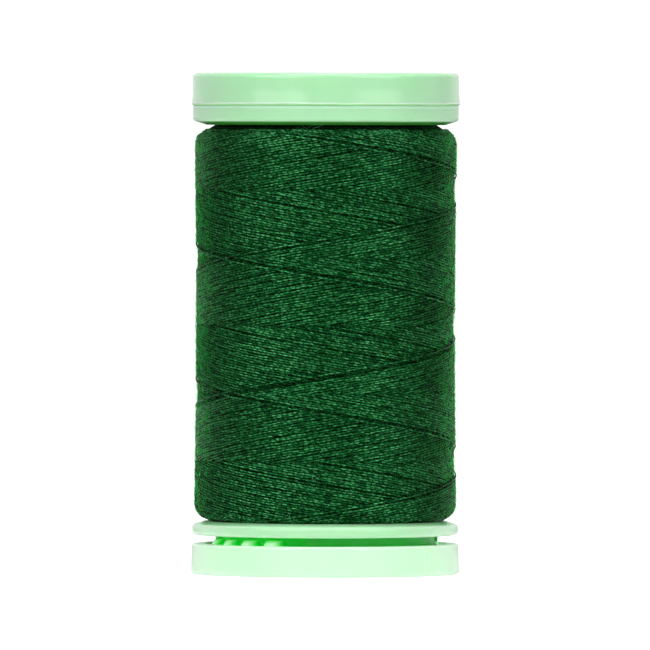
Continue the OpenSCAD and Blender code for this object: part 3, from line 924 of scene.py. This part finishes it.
def fibre_material(name, base_colour, backlit, sheen):
    """Loose dyed fibres, whose shade varies from one to the next. They turn to the backlit colour,
    painted light as if lit from behind, where the package turns away from the eye."""
    material, nodes, shader = new_material(name)
    place = nodes.place()
    shade = nodes.ramp(nodes.noise(place, 1500.0, 1.0), 0.3, 0.7, 0.45, 1.5)
    outwards = nodes.vector_maths("NORMALIZE", nodes.vector_maths("MULTIPLY", place, (1, 1, 0)))
    away = nodes.add("ShaderNodeLayerWeight", {"Normal": outwards}).outputs["Facing"]
    # Painted light: the backlit colour near the package's edges.
    tint = nodes.mix(nodes.ramp(away, 0.42, 0.75, smooth=True), rgba(base_colour), rgba(backlit))
    nodes.feed(shader, {
        "Base Color": nodes.shade(tint, shade),
        "Roughness": 0.55,
        "Subsurface Weight": 1.0,
        "Subsurface Radius": (0.2, 1.0, 0.3),
        "Subsurface Scale": 0.05 * MM,
        "Specular Tint": (0.2, 1.0, 0.35, 1),
        "Sheen Weight": sheen,
        "Sheen Tint": (0.5, 0.95, 0.55, 1),
    })
    return material


def paper_material(name, base_colour):
    """Uncoated label paper: fine fibres as stretched noise in two directions."""
    material, nodes, shader = new_material(name)
    place = nodes.place()
    grains = []
    for stretch in ((1.0, 5.0, 1.0), (4.0, 1.2, 1.0)):
        laid = nodes.add("ShaderNodeMapping", {"Vector": place, "Scale": stretch}).outputs[0]
        grains.append(nodes.noise(laid, 1400.0, 4.0))
    grain = nodes.times(nodes.maths("ADD", *grains), 0.5)
    nodes.feed(shader, {
        "Base Color": nodes.shade(rgba(base_colour), nodes.ramp(grain, 0.35, 0.65, 0.9, 1.0)),
        "Normal": nodes.bump(grain, 0.02 * MM, 0.6),
        "Roughness": nodes.ramp(grain, 0.3, 0.7, 0.95, 0.75),
    })
    return material


# Operators -----------------------------------------------------------------------------------------

class SPOOL_OT_body(Operator):
    """Barrel, lower flange and snap ring with its grip teeth, and the small lug beside it"""
    bl_idname = "spool.body"
    bl_label = "Spool Body"

    def execute(self, context):
        s, finish = context.scene.spool_body, context.scene.spool_finish
        foot = BODY_LOW.z
        outline = rounded_outline([
            (s.bore_radius, s.flange_under, 0.1 * MM),
            (s.ring_inner, s.flange_under, 0.15 * MM),
            (s.ring_inner, foot, 0.12 * MM),
            (s.foot_radius - s.foot_height, foot, 0.1 * MM),
            (s.foot_radius, foot + 0.7 * s.foot_height, 0.04 * MM),
            (s.foot_radius, foot + s.foot_height, 0.04 * MM),
            (s.ring_outer, foot + s.foot_height, 0.1 * MM),
            (s.ring_outer, s.flange_under, 0.1 * MM),
            (BODY_HIGH.x, s.flange_under, s.nose_radius),
            (BODY_HIGH.x, PACK_LOW.z - s.low_bevel_height, s.nose_radius),
            (bevel_radius(BODY_HIGH.x, s.low_bevel_height, s), PACK_LOW.z, 0.3 * MM),
            (s.barrel_radius, PACK_LOW.z, 0.3 * MM),
            (s.barrel_radius, BODY_HIGH.z, 0.12 * MM),
            (s.bore_radius, BODY_HIGH.z, 0.12 * MM),
        ])
        on_ring = np.abs(outline[:, 0] - s.ring_outer) < 0.02 * MM
        outline = refine(outline, 0.1 * MM, on_ring & np.roll(on_ring, -1))
        around = all_round()
        radius, height = outline[:, :1], outline[:, 1:]
        skirt = (np.abs(radius - s.ring_outer) < 0.12 * MM) & (height > s.tooth_low)
        radius = np.where(skirt, np.maximum(radius, self.teeth(around, height, s)), radius)
        mesh = turned_mesh("spool_body_moulding", radius, height, around)
        mesh.set_sharp_from_angle(angle=math.radians(50))
        # Paler where it turns away from the eye (painted reflection), a painted highlight on the lower
        # flange's inner edge, and painted shade and light in the gap and on the grip teeth.
        material = plastic(
            "mint_body", finish.body_shade_mint, sides=0.3, edge=(finish.low_edge, PACK_LOW.z - 0.45 * MM),
            teeth=(finish.gap_shade_mint, s), deep=(finish.gap_shade_mint, s.ring_outer, s.flange_under))
        add_piece(mesh, "spool", ["spool_body"], material)
        half = s.lug_width / 2
        lug = block_arrays((s.ring_outer - 0.4 * MM, -half, s.lug_low),
                           (s.lug_reach, half, s.flange_under + 0.2 * MM), 0.12 * MM, s.lug_angle)
        # The lug sits in the gap, and its whole colour is the painted shade of the gap.
        add_piece(make_mesh("flange_lug", *lug), "spool", ["spool_body"],
                  plastic("mint_lug", finish.gap_shade_mint))
        return {"FINISHED"}

    @staticmethod
    def teeth(around, height, s):
        """Radius of the furthest tooth in each direction and height. A tooth is a ball: along a ray from
        the axis it ends at c * cos(a) + sqrt(r * r - z * z - (c * sin(a)) ** 2), where a is the angle
        from the ball's middle, c the middle's radius, r the ball's radius and z the height from it."""
        above = height - s.tooth_height
        furthest = np.zeros(np.broadcast(around, height).shape)
        for half in (0, math.pi):
            for i in range(s.teeth):
                off = around - (half + s.tooth_start + i * s.tooth_step)
                inside = s.tooth_radius ** 2 - above ** 2 - (s.tooth_centre * np.sin(off)) ** 2
                reach = s.tooth_centre * np.cos(off) + np.sqrt(np.clip(inside, 0, None))
                furthest = np.maximum(furthest, np.where((inside > 0) & (np.cos(off) > 0), reach, 0))
        return furthest


class SPOOL_OT_upper_flange(Operator):
    """The disc pressed over the barrel's upper end"""
    bl_idname = "spool.upper_flange"
    bl_label = "Upper Flange"

    def execute(self, context):
        s, body, finish = context.scene.spool_cap, context.scene.spool_body, context.scene.spool_finish
        fit = 0.02 * MM
        hole, centring = body.barrel_radius + fit, s.wall_inner - fit
        underside = FLANGE_LOW.z - s.flange_sag
        low_rim, low_edge = FLANGE_HIGH.x - s.flange_draft, underside + body.bevel_height
        outline = rounded_outline([
            (hole, underside, 0.05 * MM),
            (bevel_radius(low_rim, body.bevel_height, body), underside, 0.3 * MM),
            (low_rim, low_edge, s.flange_edge),
            (FLANGE_HIGH.x, BODY_HIGH.z, s.flange_top_edge),
            (centring, BODY_HIGH.z, 0.08 * MM),
            (centring, FLANGE_HIGH.z, 0.1 * MM),
            (centring - 1 * MM, FLANGE_HIGH.z, 0.1 * MM),
            (centring - 1 * MM, BODY_HIGH.z, 0.1 * MM),
            (hole, BODY_HIGH.z, 0.05 * MM),
        ])
        # Paler where it turns away from the eye (painted reflection), a painted highlight on its upper edge,
        # and painted shade under it.
        material = plastic(
            "mint_flange", finish.mint, sides=0.15, edge=(finish.flange_edge, BODY_HIGH.z - 0.42 * MM),
            deep=(finish.shaded_mint, 2 * FLANGE_HIGH.x, low_edge - 0.1 * MM))
        mesh = outline_mesh("upper_flange_disc", outline)
        add_piece(mesh, "spool", ["upper_flange"], material)
        return {"FINISHED"}


class SPOOL_OT_top_cap(Operator):
    """The hollow top cap, with a wavy line of flash at its lower edge"""
    bl_idname = "spool.top_cap"
    bl_label = "Top Cap"

    def execute(self, context):
        s, finish = context.scene.spool_cap, context.scene.spool_finish
        label_edge = TOP_LABEL_HIGH.x + s.label_gap
        collar = s.hole_radius + s.collar
        flash = CAP_HIGH.x
        outline = rounded_outline([
            (s.hole_radius, CAP_LOW.z, 0.15 * MM),
            (s.hub_radius, CAP_LOW.z, 0.3 * MM),
            (s.hub_radius, s.ceiling, 0.3 * MM),
            (s.wall_inner, s.ceiling, 0.3 * MM),
            (s.wall_inner, BODY_HIGH.z, 0.06 * MM),
            (flash - s.groove_depth, BODY_HIGH.z, 0.03 * MM),
            (flash, s.flash_height - 0.22 * MM, 0.05 * MM),
            (flash, s.flash_height - 0.06 * MM, 0.04 * MM),
            (flash - s.flash_reach, s.flash_height, 0.03 * MM),
            (flash - s.wall_draft + 0.01 * MM, s.kink_height, 8 * MM),
            (flash - s.wall_draft, CAP_HIGH.z, s.edge_radius),
            (label_edge, CAP_HIGH.z, 0.06 * MM),
            (label_edge, CAP_HIGH.z - s.recess_depth, 0.05 * MM),
            (collar, CAP_HIGH.z - s.recess_depth, 0.05 * MM),
            (collar, CAP_HIGH.z, 0.08 * MM),
            (s.hole_radius, CAP_HIGH.z, 0.25 * MM),
        ])
        outermost = s.wall_inner + 0.5 * MM
        low = outline[:, 1] < s.kink_height - 0.5 * MM
        outline = refine(outline, 0.1 * MM, (outline[:, 0] > outermost) & low)
        around = all_round()
        radius, height = outline[:, :1], outline[:, 1:]
        rising = np.clip((height - BODY_HIGH.z) / (0.15 * MM), 0, 1)
        fading = np.clip((s.kink_height - height) / (s.kink_height - s.flash_height), 0, 1)
        weight = np.where(radius > outermost, rising * fading, 0)
        drips = np.clip(wave_round(around, 1.0, 7, (6, 11, 17, 26)) - 0.55, 0, None)
        height = height + weight * (wave_round(around, s.flash_wave, 3) - 1.6 * s.flash_wave * drips)
        # Paler where it turns away from the eye (painted reflection), a pale flash with a painted highlight,
        # and painted shade in the groove below it.
        material = plastic(
            "mint_cap", finish.mint, roughness=0.17, sides=0.15, flash=flash - 0.6 * s.flash_reach,
            deep=(finish.groove, 2 * flash, s.flash_height - 0.2 * MM))
        mesh = turned_mesh("top_cap_moulding", radius, height, around)
        add_piece(mesh, "spool", ["top_cap"], material)
        return {"FINISHED"}


class SPOOL_OT_base(Operator):
    """The snap base: a shallow cup with a hooked lip, a guide that slides in the barrel, and ribs"""
    bl_idname = "spool.base"
    bl_label = "Snap Base"

    def execute(self, context):
        s, cap, finish = context.scene.spool_base, context.scene.spool_cap, context.scene.spool_finish
        label_edge = BASE_LABEL_HIGH.x + cap.label_gap
        collar = cap.hole_radius + cap.collar
        lip_low = s.height - s.lip_height
        chamfer = 0.15 * MM
        outline = rounded_outline([
            (cap.hole_radius, BASE_LOW.z, 0.25 * MM),
            (collar, BASE_LOW.z, 0.06 * MM),
            (collar, BASE_LOW.z + cap.recess_depth, 0.06 * MM),
            (label_edge, BASE_LOW.z + cap.recess_depth, 0.06 * MM),
            (label_edge, BASE_LOW.z, 0.1 * MM),
            (BASE_HIGH.x, BASE_LOW.z, s.foot_edge),
            (s.rim_radius, s.height, s.rim_edge),
            (s.lip_radius + chamfer, s.height, 0.05 * MM),
            (s.lip_radius, s.height - chamfer, 0.05 * MM),
            (s.lip_radius, lip_low + chamfer, 0.05 * MM),
            (s.lip_radius + chamfer, lip_low, 0.05 * MM),
            (s.wall_inner, lip_low, 0.1 * MM),
            (s.wall_inner, s.floor_height, 0.3 * MM),
            (s.guide_radius, s.floor_height, 0.3 * MM),
            (s.guide_radius, BASE_HIGH.z, 0.3 * MM),
            (cap.hole_radius, BASE_HIGH.z, 0.15 * MM),
        ])
        # The paler copy of the mint is painted light from the floor, and the base is paler still where it
        # turns away from the eye, a painted reflection.
        material = plastic("mint_base", finish.base_lit_mint, sides=0.27, seam=s.seam_angle)
        cup = outline_mesh("snap_base_cup", outline)
        add_piece(cup, "base", ["snap_base"], material)
        low = (s.guide_radius - 0.5 * MM, -s.rib_width / 2, s.floor_height - 0.2 * MM)
        high = (s.rib_end, s.rib_width / 2, s.rib_top)
        ribs = [block_arrays(low, high, 0.12 * MM, i * TURN / s.ribs) for i in range(s.ribs)]
        add_piece(make_mesh("base_ribs", *joined(ribs)), "base", ["snap_base"], material)
        return {"FINISHED"}


class SPOOL_OT_labels(Operator):
    """A blank disc label in the cap's recess, and another under the base"""
    bl_idname = "spool.labels"
    bl_label = "Blank Labels"

    def execute(self, context):
        cap = context.scene.spool_cap
        paper = paper_material("label_paper", context.scene.spool_finish.paper)
        hole = cap.hole_radius + cap.collar + cap.label_gap
        for name, body, low, high in (("top_label", "spool", TOP_LABEL_LOW, TOP_LABEL_HIGH),
                                      ("base_label", "base", BASE_LABEL_LOW, BASE_LABEL_HIGH)):
            outline = rounded_outline([
                (hole, low.z, 0.03 * MM), (high.x, low.z, 0.03 * MM),
                (high.x, high.z, 0.05 * MM), (hole, high.z, 0.05 * MM)])
            disc = outline_mesh(name + "_disc", outline, FEWER_COLUMNS)
            add_piece(disc, body, [name], paper)
        return {"FINISHED"}


class SPOOL_OT_thread(Operator):
    """The wound thread: a plain core, and over it one strand laid to and fro"""
    bl_idname = "spool.thread"
    bl_label = "Wound Thread"

    def execute(self, context):
        s, finish = context.scene.spool_thread, context.scene.spool_finish
        barrel = context.scene.spool_body.barrel_radius
        rise = np.linspace(PACK_LOW.z, PACK_HIGH.z, 140)
        outer = np.stack([package_radius(rise, s) - s.core_depth, rise], axis=-1)
        outline = np.concatenate([outer, [[barrel, PACK_HIGH.z], [barrel, PACK_LOW.z]]])
        core = outline_mesh("thread_under_layers", outline, FEWER_COLUMNS)
        core.set_sharp_from_angle(angle=math.radians(40))
        add_piece(core, "spool", ["thread_core"],
                  packed_material("packed_thread", finish.thread, 2.2 * s.strand_radius))
        material = thread_material("dyed_thread", finish.thread, s.twist, 0.04)
        centres, thickness, buried = strand_path(s)
        cuts = np.linspace(0, len(centres) - 1, s.pieces + 1).astype(int)
        for i in range(s.pieces):
            part = slice(cuts[i], cuts[i + 1] + 1)
            tube = tube_arrays(centres[None, part], thickness[None, part], s.strand_sides, s.flatness)
            mesh = make_mesh(f"thread_winding_{i + 1}", *tube)
            depth = mesh.attributes.new("buried", "FLOAT", "POINT")
            depth.data.foreach_set("value", np.repeat(buried[part], s.strand_sides).astype(np.float32))
            add_piece(mesh, "spool", ["thread_outer_layer"], material)
        return {"FINISHED"}


class SPOOL_OT_fuzz(Operator):
    """Short fibres that stand off the wound thread, and a few longer curls of lint"""
    bl_idname = "spool.fuzz"
    bl_label = "Fuzz"

    def execute(self, context):
        s, thread, finish = context.scene.spool_fuzz, context.scene.spool_thread, context.scene.spool_finish
        material = fibre_material("loose_fibres", finish.fibre, finish.backlit_fibre, 0.05)
        for i in range(1, s.pieces + 1):
            fuzz = fibre_paths(s.fibres, 4, s.length, s.stand_off, 0.9, 20 + i, thread)
            self.add(f"thread_fuzz_{i}", fuzz, s.thickness, material)
        curls = fibre_paths(s.curls, 14, s.curl_length, 1.3 * s.stand_off, 3.0, 40, thread)
        material = fibre_material("lint_fibres", finish.lint, finish.lint, 0.6)
        self.add("thread_lint", curls, s.thickness, material)
        return {"FINISHED"}

    @staticmethod
    def add(name, centres, thickness, material):
        """A piece of three-sided fibres that thin towards both ends."""
        share = np.linspace(0, 1, centres.shape[1])
        taper = thickness / 2 * (1 - 0.55 * np.abs(2 * share - 1) ** 3)
        points, faces, _ = tube_arrays(centres, np.broadcast_to(taper, centres.shape[:2]), 3)
        add_piece(make_mesh(name, points, faces), "spool", ["thread_outer_layer"], material)


class SPOOL_OT_stage(Operator):
    """A plain pale floor, soft light from both front sides, and the camera"""
    bl_idname = "spool.stage"
    bl_label = "Stage"

    def execute(self, context):
        s = context.scene.spool_stage
        self.add_floor(s)
        self.add_light("left_soft_light", -42, 26, (1.15, 1.0), s.left_light, s)
        self.add_light("right_soft_light", 47, 26, (1.0, 1.0), s.right_light, s)
        self.add_light("top_soft_light", 0, 78, (1.0, 0.9), s.top_light, s)
        self.add_sky(context.scene, s)
        lens = bpy.data.cameras.new("camera")
        lens.lens = s.focal_length
        lens.clip_start, lens.clip_end = 0.1, 20
        camera = new_object("camera", lens)
        camera.location = (0, -s.camera_distance, s.camera_height)
        towards = Vector((s.aim_side, 0, s.aim_height)) - camera.location
        upright = towards.to_track_quat("-Z", "Y")
        camera.rotation_euler = (upright @ Quaternion((0, 0, 1), s.camera_roll)).to_euler()
        context.scene.camera = camera
        context.scene.view_settings.view_transform = "Standard"
        return {"FINISHED"}

    @staticmethod
    def add_floor(s):
        """A flat floor of faintly glowing white, so that it stays clear of shadows."""
        corners = s.floor_size * np.array([(-1, -1, 0), (1, -1, 0), (1, 1, 0), (-1, 1, 0)])
        floor = new_object("floor", make_mesh("floor", corners - [0, 0, 0.02 * MM], [np.arange(4)[None]]))
        material, nodes, shader = new_material("pale_floor")
        place = nodes.place()
        far = nodes.add("ShaderNodeVectorMath", {0: place}, operation="LENGTH").outputs["Value"]
        sheet = nodes.ramp(far, 0.8 * s.sheet_radius, 1.4 * s.sheet_radius, 0.8, 0.4, smooth=True)
        near = nodes.ramp(far, 0.5 * s.glow_reach, s.glow_reach, s.sheet_glow, 0.0, smooth=True)
        shade = nodes.times(sheet, nodes.ramp(nodes.noise(place, 40.0), 0.3, 0.7, 0.985, 1.0))
        seen = nodes.add("ShaderNodeLightPath").outputs["Is Camera Ray"]
        nodes.feed(shader, {
            "Base Color": nodes.shade(WHITE, shade),
            "Roughness": 0.7,
            "Emission Color": WHITE,
            "Emission Strength": nodes.maths("MAXIMUM", nodes.times(seen, s.floor_glow), near),
        })
        floor.data.materials.append(material)

    @staticmethod
    def add_light(name, azimuth, elevation, sides, power, s):
        """A soft rectangular light that faces the spool. Azimuth is from the front, in degrees."""
        light = bpy.data.lights.new(name, "AREA")
        light.shape = "RECTANGLE"
        light.size, light.size_y = sides
        light.energy = power
        lamp = new_object(name, light)
        a, e = math.radians(azimuth), math.radians(elevation)
        middle = Vector((0, 0, (CAD_BOX[0][2] + CAD_BOX[1][2]) / 2))
        away = Vector((math.sin(a) * math.cos(e), -math.cos(a) * math.cos(e), math.sin(e)))
        lamp.location = middle + away * s.light_distance
        lamp.rotation_euler = (-away).to_track_quat("-Z", "Y").to_euler()
        lamp.visible_camera = False

    @staticmethod
    def add_sky(scene, s):
        """Pale surroundings that are brighter behind the spool, and plain white to the camera."""
        world = bpy.data.worlds.new("surroundings")
        world.use_nodes = True
        world.node_tree.nodes.clear()
        nodes = Nodes(world.node_tree)
        depth = nodes.axes(nodes.add("ShaderNodeTexCoord").outputs["Generated"])["Y"]
        lit = nodes.ramp(depth, 0.45, 0.97, s.front_sky, s.back_sky, smooth=True)
        seen = nodes.add("ShaderNodeLightPath").outputs["Is Camera Ray"]
        strength = nodes.add("ShaderNodeMix", {0: seen, 2: lit, 3: s.seen_sky}).outputs[0]
        sky = nodes.add("ShaderNodeBackground", {"Color": WHITE, "Strength": strength})
        nodes.add("ShaderNodeOutputWorld", {"Surface": sky.outputs[0]})
        scene.world = world


class SPOOL_PT_panel(Panel):
    """Lists the spool's pieces and their settings"""
    bl_idname = "SPOOL_PT_panel"
    bl_label = "Thread Spool"
    bl_space_type = "VIEW_3D"
    bl_region_type = "UI"
    bl_category = "Spool"

    def draw(self, context):
        for operator in PIECES:
            self.layout.operator(operator.bl_idname)
        for name, settings in SETTINGS.items():
            box = self.layout.box()
            box.label(text=settings.__doc__)
            for key in settings.__annotations__:
                box.prop(getattr(context.scene, name), key)


SETTINGS = {
    "spool_body": BodySettings,
    "spool_cap": CapSettings,
    "spool_base": BaseSettings,
    "spool_thread": ThreadSettings,
    "spool_fuzz": FuzzSettings,
    "spool_stage": StageSettings,
    "spool_finish": FinishSettings,
}
PIECES = (
    SPOOL_OT_body, SPOOL_OT_upper_flange, SPOOL_OT_top_cap, SPOOL_OT_base,
    SPOOL_OT_labels, SPOOL_OT_thread, SPOOL_OT_fuzz, SPOOL_OT_stage,
)


def register():
    """Registers the settings, the operators and the panel."""
    for name, settings in SETTINGS.items():
        bpy.utils.register_class(settings)
        setattr(bpy.types.Scene, name, PointerProperty(type=settings))
    for item in (*PIECES, SPOOL_PT_panel):
        bpy.utils.register_class(item)


def unregister():
    """Takes away what register added."""
    for item in (SPOOL_PT_panel, *reversed(PIECES)):
        bpy.utils.unregister_class(item)
    for name, settings in reversed(SETTINGS.items()):
        delattr(bpy.types.Scene, name)
        bpy.utils.unregister_class(settings)


def main():
    """Builds every piece and the stage."""
    register()
    bpy.ops.spool.body()
    bpy.ops.spool.upper_flange()
    bpy.ops.spool.top_cap()
    bpy.ops.spool.base()
    bpy.ops.spool.labels()
    bpy.ops.spool.thread()
    bpy.ops.spool.fuzz()
    bpy.ops.spool.stage()


if __name__ == "__main__":
    main()
